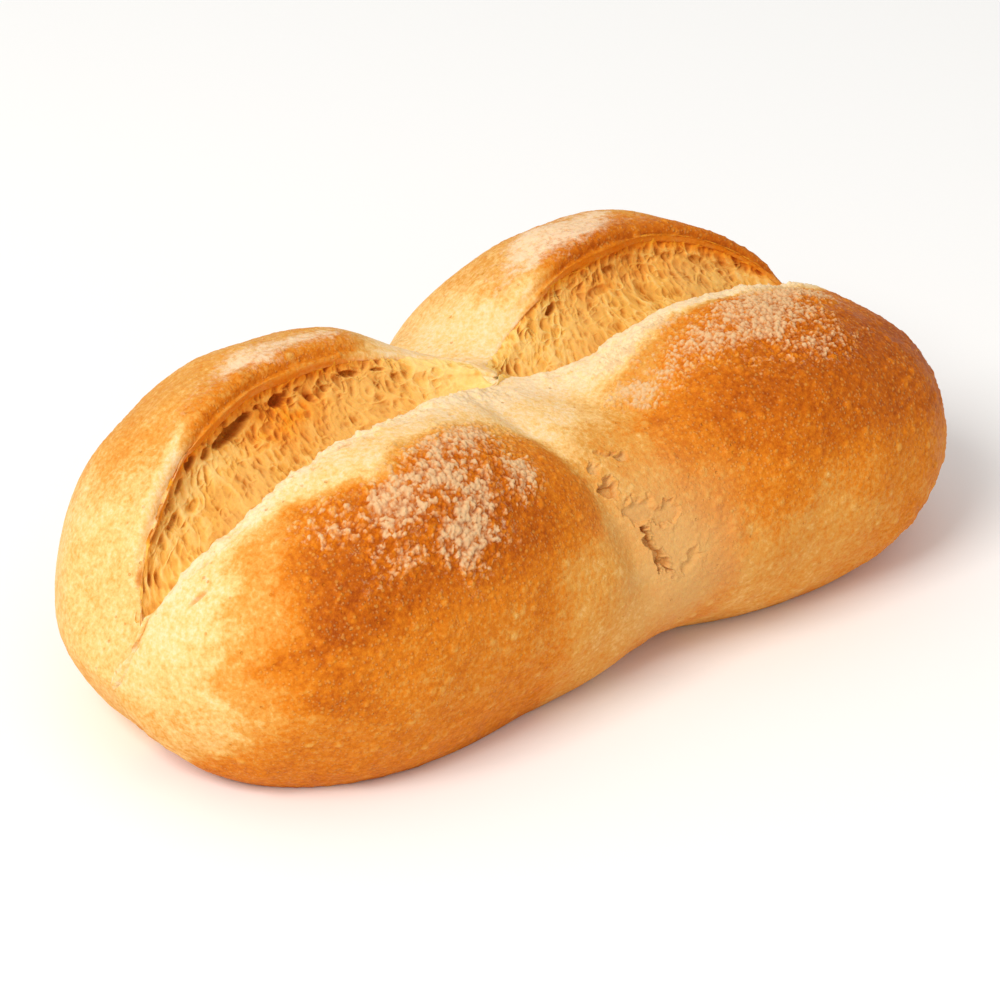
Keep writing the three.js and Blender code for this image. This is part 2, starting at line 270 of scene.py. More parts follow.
def outline(x):
    """The outline's control points at each x, as an array of (y, z): the two rounds' half widths
    and heights are superellipses along x, joined with a soft maximum so that they meet in a waist,
    and each control point is a share of those sizes."""
    out_left, out_right = HALF + LEFT["crest"], HALF - RIGHT["crest"]
    wide_left = oval(x, LEFT["crest"], out_left, LEFT["reach_in"], PLAN_OUT, PLAN_IN)
    wide_right = oval(x, RIGHT["crest"], RIGHT["reach_in"], out_right, PLAN_IN, PLAN_OUT)
    front = soft_max(wide_left * LEFT["front"], wide_right * RIGHT["front"], 5)
    back = soft_max(wide_left * LEFT["back"], wide_right * RIGHT["back"], 5)

    def height(curve, side):
        left = oval(x, LEFT["crest"], out_left, LEFT["rise_in"], curve, curve)
        right = oval(x, RIGHT["crest"], RIGHT["rise_in"], out_right, curve, curve)
        return soft_max(left * LEFT[side], right * RIGHT[side], 6)

    front_high = height(RISE_FRONT, "front_height")
    back_high = height(RISE_BACK, "back_height")
    tear = tear_width(x)
    eared = ear_share(x)
    along = x / HALF

    def fz(share):
        return POLE_HEIGHT + (share - POLE_HEIGHT / FULL_HEIGHT) * front_high

    def bz(share):
        return POLE_HEIGHT + (share - POLE_HEIGHT / FULL_HEIGHT) * back_high

    lip = TEAR_LINE + TEAR_SLANT * along - 0.36 * tear
    ear = lip + tear
    deep = (1.2 + 0.62 * tear) * np.minimum(1.0, front_high / 25.0)
    deep = deep * (1 - 0.8 * smooth(np.abs(x), 79, 84)) * (1 - 0.75 * hump((x - 2.8) / 4.5))
    points = [
        (0 * x, (fz(-0.22) + bz(-0.22)) / 2), (-0.50 * front, fz(-0.20)), (-0.84 * front, fz(0.02)),
        (-front, fz(0.34)), (-0.96 * front, fz(0.64)), (-0.80 * front, fz(0.87)),
        (-0.55 * front + 0.15 * lip, fz(0.985)), (-0.26 * front + 0.45 * lip, fz(1.0)),
        (lip, fz(0.965) - 0.02 * tear), (lip + 0.10 * tear, fz(0.97) - 0.45 * deep),
        (lip + 0.30 * tear, fz(0.97) - deep), (lip + 0.62 * tear, bz(0.97) - 0.86 * deep),
        (lip + (0.88 + 0.03 * eared) * tear, bz(0.97) - 0.50 * deep),
        (lip + (1.0 + 0.02 * eared) * tear, bz(0.98) - (0.30 - 0.08 * eared) * deep),
        (ear + 0.09 * (1 - eared) * (back - ear), bz(0.98) - (0.14 - 0.12 * eared) * deep),
        (ear + (0.24 - 0.08 * eared) * (back - ear), bz(0.99 + 0.01 * eared) - 0.03 * (1 - eared) * deep),
        (ear + 0.42 * (back - ear), bz(0.985)), (0.80 * back, bz(0.87)), (0.96 * back, bz(0.62)),
        (back, bz(0.34)), (0.84 * back, bz(0.02)), (0.50 * back, bz(-0.20)),
    ]
    table = np.stack([np.stack(point, -1) for point in points], 1)
    gather = np.minimum(1.0, np.minimum(front, back) / 14.0)
    table[:, 6:17, 0] *= gather[:, None]
    table[..., 0] += (BEND * (along * along - 0.33) + SKEW * along)[:, None]
    return table


def bare_skin(x, v):
    """The skin without relief, at every x and every v: a Catmull-Rom curve through the outline's
    control points, with the sole cut off flat at z = 0."""
    table = outline(x)
    k = np.floor(v).astype(int)
    f = (v - k)[None, :, None]
    a, b, c, d = (table[:, (k + i) % OUTLINE_POINTS] for i in (-1, 0, 1, 2))
    curve = 0.5 * (2 * b + (c - a) * f + (2 * a - 5 * b + 4 * c - d) * f * f
                   + (3 * b - a - 3 * c + d) * f ** 3)
    places = np.repeat(x[:, None], len(v), 1)
    return np.stack([places, curve[..., 0], np.maximum(curve[..., 1], 0.0)], -1)


def outward(grid):
    """The unit normals of a grid of points: the cross product of its two directions."""
    normal = np.cross(np.gradient(grid, axis=0), np.gradient(grid, axis=1))
    return normal / np.maximum(np.linalg.norm(normal, axis=-1, keepdims=True), 1e-12)


def box_middle():
    """The y of the middle of the skin's box, which the frame has at y = 0."""
    x = np.linspace(-HALF, HALF, 401)[1:-1]
    y = bare_skin(x, np.linspace(0, OUTLINE_POINTS, 221)[:-1])[..., 1]
    return (y.min() + y.max()) / 2


MIDDLE_Y = box_middle()


def ring_places(count, side):
    """Places x along one half of the roll, from the end to the seam between the halves: close
    together at the end, by a power, and then even."""
    reach = HALF - side * SEAM_X
    caps = int(count * 0.20)
    cap = CAP * (np.arange(1, caps + 1) / caps) ** 2.0
    rest = np.linspace(CAP, reach, count - caps + 1)[1:]
    return side * (HALF - np.concatenate([cap, rest]))


def outline_places(start, end, count, dense):
    """Places v from start to end, even along the outline of the two crests between the dense
    limits and more than three times as far apart elsewhere and on the flat sole."""
    v = np.linspace(start, end, 2000)
    grid = bare_skin(np.array([LEFT["crest"], RIGHT["crest"]]), v)
    steps = np.linalg.norm(np.diff(grid, axis=1), axis=-1).mean(0) + 0.002
    middle = (v[1:] + v[:-1]) / 2
    weight = smooth(grid[:, 1:, 2].mean(0), 0, 3) * (middle > dense[0]) * (middle < dense[1])
    length = np.concatenate([[0.0], np.cumsum(steps * (0.28 + 0.72 * weight))])
    return np.interp(np.linspace(0.0, length[-1], count), length, v)


# ------------------------------------------------------------------ relief


def lumps(p):
    """The uneven swell of hand-shaped dough: products of slow sines."""
    x, y, z = p[..., 0], p[..., 1], p[..., 2]
    return (0.45 * np.sin(x / 6.1 + y / 9.3 + 1.1) * np.sin(y / 7.7 - z / 8.9)
            + 0.30 * np.sin(x / 3.7 - z / 5.3 + 0.4) * np.sin(y / 4.9 + x / 11 + 2))


def waist_valley(x, v):
    """The valley where the rounds meet: a broad and a narrow bell across it, fading at both ends."""
    in_front = v < 11
    up = np.where(in_front, v, OUTLINE_POINTS - v)
    away = x - np.where(in_front, FRONT_VALLEY - VALLEY_SLANT * (up - 7), BACK_VALLEY)
    share = ramp(up, 1.8, 4) * (1 - ramp(up, 6.4, 8))
    return share * (3.2 * hump(away / 12) + 1.3 * hump(away / 3.5))


def openings(x, v, table, crisp):
    """The deepest of the listed openings at each point: a bowl with steep sides."""
    deepest = np.zeros(np.broadcast(x, v).shape)
    for place_x, place_v, half_x, half_v, depth in table:
        reach = np.hypot((x - place_x) / half_x, (v - place_v) / half_v)
        deepest = np.maximum(deepest, depth * (1 - smooth(reach, 1.0 - crisp, 1.12)))
    return deepest


def blisters(p):
    """Blisters of two sizes in the crust, 0 to 1: round domes on scattered cells."""
    near, _, own = cells(p, 2.6, 51)
    small = np.where(own < 0.6, (0.3 + 1.2 * own) * smooth(0.42 - near, 0.0, 0.25), 0.0)
    near, _, own = cells(p, 1.25, 55)
    return small, (0.2 + 0.8 * own) * smooth(0.5 - near, 0.0, 0.35)


def stretch_marks(x, v):
    """Marks down the stretched underside of the ear, -1 to 1: noise that changes quickly along the
    roll and slowly across it, leaning a little."""
    return layers(np.stack([x + 2.4 * (v - 13.5), 0.5 * v, 0.0 * x], -1), 2.2, 77, 3, 0.6)


def crease_place(x):
    """The place v of the line where the ear folds, a little behind its edge."""
    return 14.15 + 0.22 * smooth(x, -48, -30) * (1 - smooth(x, -10, 10))


def crust_relief(x, v, p):
    """How far the crust stands out, in mm: slow lumps, the waist's valley, the ragged lip, the
    folded ear, blisters of three sizes and a fine grain."""
    open_share = ramp(tear_width(x), 2, 10)
    low = ramp(p[..., 2], 0.5, 6)
    near_end = ramp(HALF - np.abs(x), 0, 8)
    ear = ear_share(x)
    crease = crease_place(x)
    bend = layers(p, 7.0, 21, 2)
    fold = ((0.9 + 0.3 * bend) * hump((v - crease - 0.52) / 0.40)
            - 0.75 * hump((v - crease + 0.12 * bend) / 0.16) - 0.35 * hump((v - crease + 0.45) / 0.35))
    torn = layers(p, 2.4, 31, 4, 0.65)
    flakes, _, own = cells(p, 1.7, 35)
    flakes = np.where(own > 0.55, smooth(0.45 - flakes, 0.0, 0.3), 0.0)
    lip = open_share * (hump((v - 7.75) / 0.55) * (1.15 * torn + 0.40 * flakes)
                        + 0.55 * noise(p, 5.0, 37) * hump((v - 8) / 0.8))
    end_crease = -0.6 * hump((v - 11.0) / 4.0) * smooth(-x, 78, 83)
    under_ear = hump((v - 13.45) / 0.5)
    small, tiny = blisters(p)
    near, _, own = cells(p, 6.5, 41)
    wide = np.where(own < 0.4, smooth(0.42 - near, 0.0, 0.28), 0.0)
    rough = smooth(browning(x, v, p), 0.25, 0.6) * (1 - 0.8 * under_ear)
    swell = 0.35 * noise(p, 11.0, 71) * near_end
    skin = lumps(p) * near_end + swell - waist_valley(x, v)
    fine = rough * (0.3 * wide + 0.34 * small + 0.20 * tiny) + 0.07 * layers(p, 1.7, 61, 2)
    fine = fine + 0.25 * ear * under_ear * stretch_marks(x, v)
    return (low * (skin + fine) + lip + open_share * ear * fold + end_crease
            - openings(x, v, EDGE_OPENINGS, 0.5))


def across_front(x, v):
    """Browning of the front, 0 to 1: a profile over the height of each round, times smooth steps
    that keep the pale left end, the waist and the lip out."""
    left = np.interp(v, (1.0, 2.2, 3.2, 3.9, 4.3, 5.0, 5.8, 6.4, 6.9),
                     (.68, .64, .58, .63, .86, .87, .79, .68, .53))
    right = np.interp(v, (1.0, 2.2, 3.2, 3.9, 4.4, 5.4, 6.2, 7.0, 7.6),
                      (.60, .53, .45, .55, .78, .86, .76, .70, .60))
    left = np.maximum(left, 0.72 * patch(x, v, -66, 3.6, 9, 1.1)) - 0.17 * smooth(x, -26, -16)
    top = 6.78 - 0.45 * hump((x + 47) / 4) - 0.3 * smooth(x, -22, -10) + 0.4 * smooth(-x, 54, 62)
    high = 1 - smooth(v, top - 0.75, top + 0.4)
    end = -67.5 - 4.5 * (6.2 - v)
    brown = left * smooth(x, end - 12, end + 10) * (1 - smooth(x, -13, -3))
    golden = 0.44 * smooth(x, end - 14, end - 4) * (1 - smooth(x, -8, 4) * smooth(v, 4.4, 5.6))
    golden = golden * (1 - smooth(x, -16, -10) * smooth(v, 5.4, 6.2))
    left = np.maximum(brown, golden) * high * smooth(x, -85, -79)
    inner = np.interp(v, (3.5, 4.0, 4.6, 5.5, 6.5, 7.2), (10, -2, -6, -8, -2, 6))
    brown = right * smooth(x, inner + 2, inner + 32) * (1 - smooth(v, 7.1, 7.8))
    golden = 0.47 + 0.17 * smooth(x, 4, 12) * (1 - smooth(x, 26, 40))
    golden = golden * smooth(x, -12, 0) * (1 - smooth(v, 5.9, 6.9))
    golden = golden * (1 - 0.4 * smooth(x, 8, 20) * (1 - smooth(v, 3.1, 4.0)))
    golden = np.maximum(golden, 0.45 * smooth(x, inner - 6, inner + 16) * (1 - smooth(v, 6.9, 7.5)))
    right = brown * (0.92 + 0.14 * smooth(x, 20, 60)) + 0.1 * smooth(x, 40, 60) * (1 - smooth(v, 3.8, 4.6))
    return np.maximum(left, np.maximum(right, golden))


def across_back(x, v):
    """Browning of the back: bands along the ears that fade down the back to golden flanks."""
    places = (13.0, 13.6, 14.2, 15.0, 15.8, 17.5, 19.5, 21.0)
    down = smooth(v, 15.2, 17.5)
    # Just under the ear, at 13.0 and 13.6, the browning is kept low: partly the band's own colour, partly
    # painted light on the shaded underside of the ear.
    left = np.interp(v, places, (.36, .40, .62, .54, .30, .50, .50, .60))
    right = np.interp(v, places, (.45, .49, .76, .66, .40, .62, .54, .60))
    left = left * smooth(x, -65 - 11 * smooth(v, 15, 20), -54 - 8 * smooth(v, 15, 20))
    left = left * (1 - smooth(x, -24 + 8 * smooth(v, 14, 16) - 18 * down, -8 + 8 * down))
    golden = 0.42 * smooth(x, -84, -62) * (1 - smooth(x, -16 - 12 * down, -6 + 8 * down))
    golden = golden * smooth(v, 14.2, 15.0)
    right = right * smooth(x, 14 + 4 * smooth(v, 14.6, 16) - 16 * down, 33 + 10 * down)
    right = np.maximum(right, 0.38 * smooth(x, 8 - 12 * down, 18 + 10 * down) * smooth(v, 13.4, 15.4))
    return np.maximum(np.maximum(left, golden), right)


def browning(x, v, p):
    """How brown the crust is, 0 to 1: brown crests and ears, golden flanks, pale where the dough
    opened late, with soft uneven edges."""
    wobble = layers(p, 15.0, 5, 4)
    ragged = layers(p, 2.6, 13, 3, 0.6)
    vv = v + 0.30 * wobble + 0.13 * ragged
    fingers = layers(np.stack([0.22 * x, 4.0 * v, 0.0 * x], -1), 2.4, 19, 3, 0.6)
    xx = x + 2.0 * layers(p, 14.0, 9, 3) + 1.6 * ragged + 4.0 * fingers
    front = across_front(xx, vv)
    back = across_back(xx, v + 0.15 * wobble)
    up = np.where(v < 11, v, OUTLINE_POINTS - v)
    waist = (0.34 * hump((x - 2) / 16) * (1 - smooth(up, 5.0, 6.2))
             + 0.3 * hump((x - 2) / 12) * hump((up - 2.0) / 0.7))
    base = 0.14 + 0.10 * (1 - smooth(up, 1.5, 4)) + 0.10 * smooth(xx, 60, 84) + 0.03 * smooth(-x, 20, 50)
    base = base + 0.08 * smooth(-x, 66, 80) * (1 - hump((v - 6.9) / 1.7))
    brown = np.maximum(np.maximum(np.where(v < 9.5, front, back), waist), base)
    lip_band = smooth(vv, 7.0, 7.5) * (1 - smooth(v, 11.5, 12.5)) * (1 - 0.8 * smooth(np.abs(x), 79, 82))
    brown = brown * (1 - (0.68 + 0.2 * smooth(x, 0, 20)) * lip_band) + 0.05 * wobble
    brown = brown + 0.05 * layers(p, 4.0, 15, 3)
    small, tiny = blisters(p)
    # Paler tops of the blisters: partly their own colour, partly painted light on their tops.
    brown = brown - smooth(brown, 0.3, 0.6) * (0.16 * small + 0.10 * tiny - 0.03)
    # Painted shade: a darker line along the crease where the ear folds.
    folded = hump((v - crease_place(x) - 0.05) / 0.2) * smooth(brown, 0.4, 0.6)
    marks = hump((v - 13.6) / 0.6) * stretch_marks(x, v)
    return np.clip(brown + ear_share(x) * (0.07 * folded + 0.2 * marks), 0.0, 1.0)


def painted_waist_shade(x, v, p):
    """How much painted shade greys the crust, 0 to 1: the low front of the waist, on its shaded side."""
    share = patch(x + 4 * layers(p, 6.0, 99, 3), v, 2.5, 3.6, 11, 1.5, 2.5)
    return np.where(v < 9, 0.75 * share, 0.0)


def flouring(x, v, p):
    """How much flour lies on the crust, 0 to 1: patches on three crests, broken up by noise."""
    total = np.zeros(np.broadcast(x, v).shape)
    ragged = layers(p, 5.0, 95, 4, 0.65)
    for middle_x, middle_v, half_x, half_v, strength in FLOUR_AREAS:
        reach = patch(x + 7 * ragged, v + 0.35 * ragged, middle_x, middle_v, half_x, half_v, 1.8)
        total = np.maximum(total, strength * reach)
    return np.clip(total * (1.0 + 0.9 * layers(p, 8.0, 91, 3)), 0.0, 1.0)


def crust_at(x, v):
    """The crust with its relief at every x and v, with its outward directions and its bare skin."""
    bare = bare_skin(x, v)
    normal = outward(bare)
    px = bare[..., 0]
    pv = np.broadcast_to(v[None, :], px.shape)
    move = crust_relief(px, pv, bare)
    return bare, normal, px, pv, move


# ------------------------------------------------------------------ meshes


def add_tube(name, rings, values):
    """A closed surface from rings that are closed in themselves: each ring is joined to the next
    with four-sided faces, and a fan of triangles closes each end. values holds one number a point
    for each named attribute, in the rings' own layout."""
    count, size = rings.shape[:2]
    ends = rings[[0, -1]].mean(1)
    points = np.concatenate([rings.reshape(-1, 3), ends])
    points = (points - np.array([0.0, MIDDLE_Y, 0.0])) * MM
    index = np.arange(count * size).reshape(count, size)
    ahead = np.roll(index, -1, 1)
    quads = np.stack([index[:-1], index[1:], ahead[1:], ahead[:-1]], -1).reshape(-1, 4)
    first = np.full(size, count * size)
    last = first + 1
    fans = np.concatenate([np.stack([first, index[0], ahead[0]], -1),
                           np.stack([index[-1], last, ahead[-1]], -1)])
    mesh = bpy.data.meshes.new(name)
    mesh.from_pydata(points.tolist(), [], quads.tolist() + fans.tolist())
    mesh.polygons.foreach_set("use_smooth", np.ones(len(mesh.polygons), dtype=bool))
    for key, value in values.items():
        flat = np.concatenate([value.reshape(-1), value[[0, -1]].mean(1)])
        mesh.attributes.new(key, 'FLOAT', 'POINT').data.foreach_set("value", flat.astype(np.float32))
    mesh.update()
    piece = bpy.data.objects.new(name, mesh)
    bpy.context.scene.collection.objects.link(piece)
    return piece


def close_rings(grid, steps):
    """The points that close each row of a grid back to its start: a straight inner wall."""
    share = (np.arange(1, steps + 1) / (steps + 1))[None, :, None]
    wall = grid[:, -1:] * (1 - share) + grid[:, :1] * share
    return np.concatenate([grid, wall], 1)


def pad(values, steps):
    """Repeats each row's last value along the inner wall."""
    return np.concatenate([values, np.repeat(values[:, -1:], steps, 1)], 1)


def finish_piece(piece, material):
    """Gives a piece its material and says what it stands for."""
    piece.data.materials.append(material)
    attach(piece, "root")
    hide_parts(NODE)


# ------------------------------------------------------------------ materials


class Tree:
    """Short ways to add and join a material's nodes."""

    def __init__(self, name):
        self.material = bpy.data.materials.new(name)
        self.material.use_nodes = True
        self.nodes = self.material.node_tree.nodes
        self.links = self.material.node_tree.links
        self.shader = self.nodes["Principled BSDF"]
        self.place = self.nodes.new("ShaderNodeTexCoord").outputs["Object"]

    def put(self, socket, value):
        """Links a socket or sets a value."""
        if isinstance(value, bpy.types.NodeSocket):
            self.links.new(value, socket)
        else:
            socket.default_value = value

    def math(self, operation, a, b, clamp=False):
        node = self.nodes.new("ShaderNodeMath")
        node.operation = operation
        node.use_clamp = clamp
        self.put(node.inputs[0], a)
        self.put(node.inputs[1], b)
        return node.outputs[0]

    def plus(self, a, b, clamp=False):
        return self.math('ADD', a, b, clamp)

    def times(self, a, b):
        return self.math('MULTIPLY', a, b)

    def attribute(self, name):
        node = self.nodes.new("ShaderNodeAttribute")
        node.attribute_name = name
        return node.outputs["Fac"]

    def noise(self, size, detail=3.0, roughness=0.5, distortion=0.0):
        """Noise whose features are about size millimetres."""
        node = self.nodes.new("ShaderNodeTexNoise")
        self.put(node.inputs["Vector"], self.place)
        node.inputs["Scale"].default_value = 1.0 / (size * MM)
        node.inputs["Detail"].default_value = detail
        node.inputs["Roughness"].default_value = roughness
        node.inputs["Distortion"].default_value = distortion
        return node.outputs["Fac"]

    def spots(self, size):
        """Scattered points about size millimetres apart: the distance to one and a draw for it."""
        node = self.nodes.new("ShaderNodeTexVoronoi")
        self.put(node.inputs["Vector"], self.place)
        node.inputs["Scale"].default_value = 1.0 / (size * MM)
        split = self.nodes.new("ShaderNodeSeparateColor")
        self.put(split.inputs[0], node.outputs["Color"])
        return node.outputs["Distance"], split.outputs[0]

    def span(self, value, low, high, to_low=0.0, to_high=1.0):
        node = self.nodes.new("ShaderNodeMapRange")
        node.interpolation_type = 'SMOOTHSTEP'
        for socket, item in zip(node.inputs[:5], (value, low, high, to_low, to_high)):
            self.put(socket, item)
        return node.outputs[0]

    def ramp(self, value, stops):
        node = self.nodes.new("ShaderNodeValToRGB")
        self.put(node.inputs[0], value)
        elements = node.color_ramp.elements
        elements.remove(elements[1])
        elements[0].position = stops[0][0]
        elements[0].color = linear(stops[0][1])
        for position, color in stops[1:]:
            elements.new(position).color = linear(color)
        return node.outputs[0]

    def mix(self, share, a, b, blend='MIX'):
        node = self.nodes.new("ShaderNodeMix")
        node.data_type = 'RGBA'
        node.blend_type = blend
        for socket, value in zip((node.inputs[0], node.inputs[6], node.inputs[7]), (share, a, b)):
            self.put(socket, linear(value) if isinstance(value, Color) else value)
        return node.outputs[2]

    def bump(self, height, depth):
        """Bump of that depth in millimetres."""
        node = self.nodes.new("ShaderNodeBump")
        node.inputs["Distance"].default_value = depth * MM
        self.put(node.inputs["Height"], height)
        self.put(self.shader.inputs["Normal"], node.outputs[0])

    def surface(self, color, roughness, shine):
        for key, value in (("Base Color", color), ("Roughness", roughness),
                           ("Specular IOR Level", shine)):
            self.put(self.shader.inputs[key], value)

    def soft(self, weight, radius, scale):
        """Light that goes in and comes out again nearby, over radius times scale metres."""
        self.shader.subsurface_method = 'RANDOM_WALK'
        self.shader.inputs["Subsurface Weight"].default_value = weight
        self.shader.inputs["Subsurface Radius"].default_value = radius
        self.shader.inputs["Subsurface Scale"].default_value = scale


def linear(color):
    """A colour picked on screen, 0 to 1, as the linear light that shaders use, with no
    transparency."""
    return *(c / 12.92 if c <= 0.04045 else ((c + 0.055) / 1.055) ** 2.4 for c in color), 1.0


def crust_color(t, looks, bake):
    """The crust's colour for how far it is baked."""
    return t.ramp(bake, [(0.02, looks.pale), (0.22, looks.straw), (0.42, looks.gold),
                         (0.62, looks.amber), (0.82, looks.brown), (1.0, looks.dark)])


def crust_material(looks):
    """Baked crust: cream to deep brown by the bake attribute, mottled, with pale blister dots that are
    partly painted highlights, dark pores, dusted flour, painted shade on the low front of the waist and in
    the edge openings, painted light on the underside of the ear, a satin surface and a fine bump."""
    t = Tree("baked crust")
    mottle = t.math('SUBTRACT', t.noise(4.0, 5.0, 0.62), 0.5)
    fleck = t.math('SUBTRACT', t.noise(0.9, 3.0, 0.65), 0.5)
    area = t.attribute("bake")
    bake = t.plus(area, t.times(mottle, 0.26))
    bake = t.plus(bake, t.times(fleck, 0.62), clamp=True)
    color = crust_color(t, looks, bake)
    rough_area = t.span(area, 0.3, 0.75)
    near, own = t.spots(1.25)
    # Pale gold and straw dots on the blisters: partly the blisters' own paler colour, partly painted
    # highlights.
    blister = t.times(t.span(near, 0.14, 0.36, 1.0, 0.0), t.span(own, 0.4, 0.6))
    blister = t.times(blister, rough_area)
    color = t.mix(t.times(blister, 0.46), color, looks.gold)
    near_fine, own_fine = t.spots(0.62)
    fine = t.times(t.span(near_fine, 0.15, 0.50, 1.0, 0.0), t.span(own_fine, 0.3, 0.8))
    fine = t.times(fine, rough_area)
    color = t.mix(t.times(fine, 0.22), color, looks.straw)
    near_pore, own_pore = t.spots(2.2)
    pore = t.times(t.span(near_pore, 0.06, 0.16, 1.0, 0.0), t.span(own_pore, 0.6, 0.7))
    color = t.mix(t.times(pore, 0.45), color, looks.amber)
    dust = t.times(t.math('SUBTRACT', t.noise(1.2, 4.0, 0.7), 0.5), 2.0)
    dust = t.plus(dust, t.times(t.attribute("flour"), 1.15))
    dust = t.times(t.span(dust, 0.35, 1.35), t.span(t.attribute("flour"), 0.02, 0.2))
    color = t.mix(t.times(dust, 0.9), color, looks.dust)
    # Painted shade: the low front of the waist is greyed towards the dull colour.
    color = t.mix(t.attribute("dull"), color, looks.dull)
    # Painted light: the shaded underside of the ear is lightened towards the browned-hollow colour.
    color = t.mix(t.times(t.attribute("painted_light_under_ear"), 0.72), color, looks.toast_low)
    # Painted shade: the edge openings of the crust and the deep holes of the waist take the crumb's pit
    # colour by their depth.
    color = t.mix(t.times(t.attribute("pit"), 0.85), color, looks.crumb_pit_shade)
    t.surface(color, t.span(t.noise(3.0), 0.3, 0.7, 0.5, 0.7), 0.09)
    t.soft(0.10, (1.0, 0.40, 0.12), 0.0015)
    height = t.plus(t.times(blister, 0.7), t.times(fine, 0.7))
    height = t.plus(height, t.times(fleck, 1.3))
    height = t.math('SUBTRACT', height, pore)
    height = t.plus(height, t.times(dust, 0.6))
    t.bump(height, 0.17)
    return t.material


def crumb_material(looks):
    """Torn crumb: cream strands, painted shade that deepens the colour in the pits, browned towards the
    ear, matt.
    """
    t = Tree("torn crumb")
    fleck = t.math('SUBTRACT', t.noise(0.7, 3.0, 0.6), 0.5)
    pit = t.plus(t.attribute("pit"), t.times(fleck, 0.28), clamp=True)
    # Painted shade: the ramps darken and warm the crumb where pit is high, in its hollows, pits and
    # openings.
    plain = t.ramp(pit, [(0.0, looks.crumb), (0.35, looks.crumb_low), (1.0, looks.crumb_pit_shade)])
    dull = t.ramp(pit, [(0.0, looks.crumb_low), (0.5, looks.crumb_dull), (1.0, looks.crumb_pit_shade)])
    brown = t.ramp(pit, [(0.0, looks.toast), (0.4, looks.toast_low), (1.0, looks.toast_pit_shade)])
    plain = t.mix(t.times(t.attribute("grey"), 0.7), plain, dull)
    t.surface(t.mix(t.attribute("toast"), plain, brown), 0.85, 0.2)
    t.soft(0.20, (1.0, 0.55, 0.2), 0.0015)
    t.bump(t.noise(0.35, 2.0), 0.06)
    return t.material


def flour_material(looks):
    """Grains of crust with caked flour: pale clumps whose thin edges let the crust through."""
    t = Tree("caked flour")
    fleck = t.math('SUBTRACT', t.noise(0.6, 3.0, 0.6), 0.5)
    bake = t.plus(t.attribute("bake"), t.times(fleck, 0.5), clamp=True)
    thick = t.plus(t.attribute("pit"), t.times(fleck, 0.5), clamp=True)
    share = t.span(thick, 0.0, 0.85, 0.0, 0.86)
    t.surface(t.mix(share, crust_color(t, looks, bake), looks.flour), 0.95, 0.1)
    t.soft(0.2, (1.0, 0.6, 0.4), 0.0008)
    t.bump(t.noise(0.3, 2.0), 0.05)
    return t.material


# ------------------------------------------------------------------ settings


def color_setting(name, description, rgb):
    return bpy.props.FloatVectorProperty(name=name, description=description, subtype='COLOR_GAMMA',
                                         size=3, min=0.0, max=1.0,
                                         default=tuple(c / 255 for c in rgb))


class BreadLooks(bpy.types.PropertyGroup):
    """Colours, as picked on screen."""
    pale: color_setting("Pale crust", "Crust that opened late and hardly browned", (250, 219, 174))
    straw: color_setting("Straw crust", "Lightly baked crust", (246, 198, 124))
    # Golden crust, made a little darker: partly its own colour, partly painted shade of the shaded lower
    # belly.
    gold: color_setting("Golden crust", "Golden crust of the lower sides", (226, 158, 70))
    amber: color_setting("Amber crust", "Orange-brown crust", (220, 126, 24))
    brown: color_setting("Brown crust", "Brown crust of the crests", (194, 98, 10))
    dark: color_setting("Dark crust", "Darkest baked spots", (160, 70, 5))
    crumb: color_setting("Crumb", "Strands of the torn crumb", (252, 219, 142))
    crumb_low: color_setting("Low crumb", "Hollows of the crumb", (239, 182, 86))
    # Painted shade: the crumb's colour deep in its pits.
    crumb_pit_shade: color_setting("Crumb pits", "Deep pits of the crumb", (200, 122, 32))
    crumb_dull: color_setting("Dull crumb", "Greyer hollows low in the tear", (228, 176, 98))
    toast: color_setting("Browned crumb", "Strands near the ear", (250, 178, 50))
    toast_low: color_setting("Browned hollows", "Hollows near the ear", (234, 138, 22))
    # Painted shade: the browned crumb's colour deep in its pits.
    toast_pit_shade: color_setting("Browned pits", "Deep pits near the ear", (176, 80, 8))
    # Painted shade: the greyed tan of the shaded low front of the waist.
    dull: color_setting("Dull crust", "Crust low on the waist", (220, 172, 108))
    dust: color_setting("Flour dust", "Fine flour on the crust", (250, 218, 178))
    flour: color_setting("Flour", "Thick caked flour", (226, 190, 144))


class BreadSizes(bpy.types.PropertyGroup):
    """Fineness and relief."""
    rings: bpy.props.IntProperty(name="Rings", default=290, min=60, max=300,
                                 description="Rings along each half of the roll")
    crumb_depth: bpy.props.FloatProperty(name="Crumb depth", default=0.0008, unit='LENGTH',
                                         description="Depth of the crumb's large cells")
    flour_height: bpy.props.FloatProperty(name="Flour height", default=0.00045, unit='LENGTH',
                                          description="Height of the caked flour")


# ------------------------------------------------------------------ pieces


def material_named(name, build):
    """The material of that name, made by build on first use."""
    found = bpy.data.materials.get(name)
    return found or build(bpy.context.scene.bread_looks)


def crumb_top(x):
    """The place v where the crumb ends under the ear: higher at the left end, and over the rounded
    far side near the waist, where there is no ear."""
    near_waist = (1 - ear_share(x)) * smooth(x, -34, -20) * (1 - smooth(x, 26, 38))
    return 13.28 + 0.3 * smooth(-x, 57, 64) + 0.6 * near_waist


